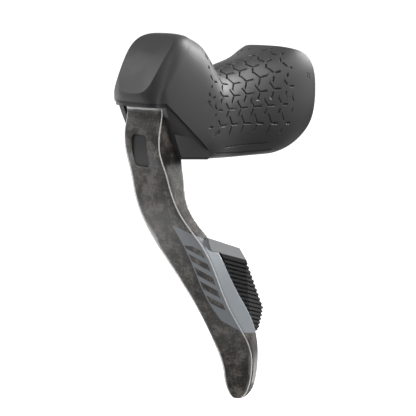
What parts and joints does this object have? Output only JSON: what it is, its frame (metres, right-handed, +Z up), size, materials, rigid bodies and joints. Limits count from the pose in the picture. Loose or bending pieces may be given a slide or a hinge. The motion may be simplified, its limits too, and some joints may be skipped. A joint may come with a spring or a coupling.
{
  "type": "electronic brake shift lever",
  "caption": "Left-hand drop-bar lever: rubber hood over a moulded body, hinged hydraulic brake blade with an electronic shift paddle behind it, and a band clamp.",
  "frame": {"origin": "centre of the handlebar clamp", "axes": "+X forward from the bar to the pommel, +Y outboard, +Z up along the bar's axis at the clamp"},
  "size_m": [0.1083, 0.0544, 0.1691],
  "materials": {
    "hood_rubber": "matte",
    "body_composite": "satin",
    "blade_fibre": "clear coat over chopped fibre",
    "plug_plastic": "matte",
    "paddle_paint": "satin",
    "paddle_rubber": "matte",
    "bright_steel": "satin",
    "spring_steel": "bright",
    "bare_alloy": "machined",
    "bush_bronze": "machined",
    "seal_rubber": "satin",
    "board_resin": "satin",
    "cell_steel": "bright",
    "lens_clear": "clear"
  },
  "bodies": {
    "lever_body": {"hood_cover": "hood_rubber", "lever_body": "body_composite", "status_lens": "lens_clear", "clamp_band": "bright_steel", "clamp_nut": "bright_steel", "anchor_pin": "bright_steel", "clamp_bolt": "bright_steel", "reservoir_cap": "body_composite", "cap_screws": "bright_steel", "reservoir_bladder": "seal_rubber", "bleed_screw": "bright_steel", "circuit_board": "board_resin", "coin_cell": "cell_steel", "cell_contact": "cell_steel", "battery_hatch": "body_composite", "hatch_seal": "seal_rubber", "pairing_switch": "board_resin", "piston_clip": "spring_steel", "piston_spring": "spring_steel", "pivot_pin": "bright_steel", "pivot_screw": "bright_steel", "return_spring": "spring_steel"},
    "pairing_button": {"pairing_button": "plug_plastic"},
    "piston": {"piston": "bare_alloy", "piston_seals": "seal_rubber"},
    "brake_blade": {"brake_blade": "blade_fibre", "access_plug": "plug_plastic", "pivot_bushes": "bush_bronze", "paddle_bracket": "bare_alloy", "shift_switch": "board_resin", "paddle_pin": "bright_steel", "paddle_spring": "spring_steel"},
    "pushrod": {"reach_barrel": "bright_steel", "pushrod": "bright_steel"},
    "shift_paddle": {"shift_paddle": "paddle_paint", "paddle_grip": "paddle_rubber"}
  },
  "joints": [
    {"name": "brake_pull", "type": "hinge", "parent": "lever_body", "child": "brake_blade", "pos_m": [0.078, 0, -0.0022], "axis": [0, 1, 0], "range_deg": [0, 22], "stiffness_Nm_per_rad": 0.25, "springref_deg": -22.92, "deforming": ["return_spring"]},
    {"name": "pushrod_swing", "type": "hinge", "parent": "brake_blade", "child": "pushrod", "pos_m": [0.07953, 0, -0.01005], "axis": [0, 1, 0], "range_deg": [-22.5, 0.5]},
    {"name": "piston_slide", "type": "slide", "parent": "lever_body", "child": "piston", "axis": [-1, 0, 0], "range_m": [0, 0.0031], "deforming": ["piston_spring"]},
    {"name": "shift_press", "type": "hinge", "parent": "brake_blade", "child": "shift_paddle", "pos_m": [0.06, 0.016, -0.064], "axis": [-1, 0, 0], "range_deg": [0, 5], "stiffness_Nm_per_rad": 0.3, "springref_deg": -8.59, "deforming": ["paddle_spring"]},
    {"name": "pairing_press", "type": "slide", "parent": "lever_body", "child": "pairing_button", "axis": [0, 1, 0], "range_m": [0, 0.0005], "stiffness_N_per_m": 600, "springref_m": -0.0005}
  ],
  "couplings": [
    {"joint": "pushrod_swing", "follows": "brake_pull", "ratio": -1},
    {"joint": "piston_slide", "follows": "brake_pull", "m_per_rad": 0.007951}
  ]
}
